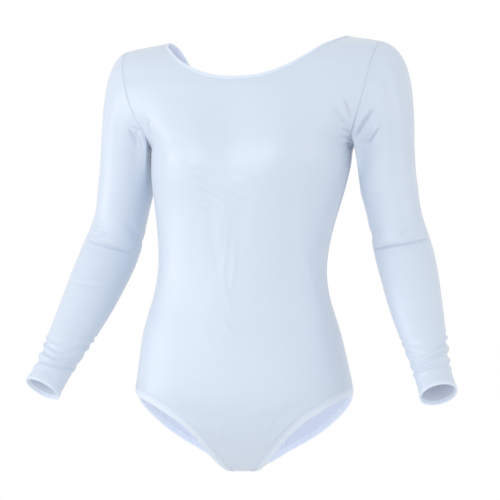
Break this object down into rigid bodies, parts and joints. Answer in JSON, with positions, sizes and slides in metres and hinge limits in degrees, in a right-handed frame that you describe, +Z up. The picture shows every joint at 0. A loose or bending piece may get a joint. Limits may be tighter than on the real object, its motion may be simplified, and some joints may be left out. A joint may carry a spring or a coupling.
{
  "type": "gymnastics leotard",
  "caption": "Long-sleeved gymnastics leotard in pale blue shiny stretch cloth, worn shape, wide scoop neck and high-cut legs.",
  "frame": {"origin": "midway between the two shoulder points, where the wearer's shoulders hold it up", "axes": "+Z up, -Y out of the chest, +X to the garment's own left"},
  "size_m": [0.6546, 0.2288, 0.6515],
  "materials": {
    "stretch_cloth": "pale ice-blue shiny stretch knit",
    "hem_cloth": "the same knit turned and sewn in two rows"
  },
  "bodies": {
    "root": {"front": "stretch_cloth", "back": "stretch_cloth", "sleeve_left": "stretch_cloth", "sleeve_left_forearm": "stretch_cloth", "sleeve_right": "stretch_cloth", "sleeve_right_forearm": "stretch_cloth", "neck_hem": "hem_cloth", "leg_hem_left": "hem_cloth", "leg_hem_right": "hem_cloth", "cuff_hem_left": "hem_cloth", "cuff_hem_right": "hem_cloth"}
  },
  "joints": []
}
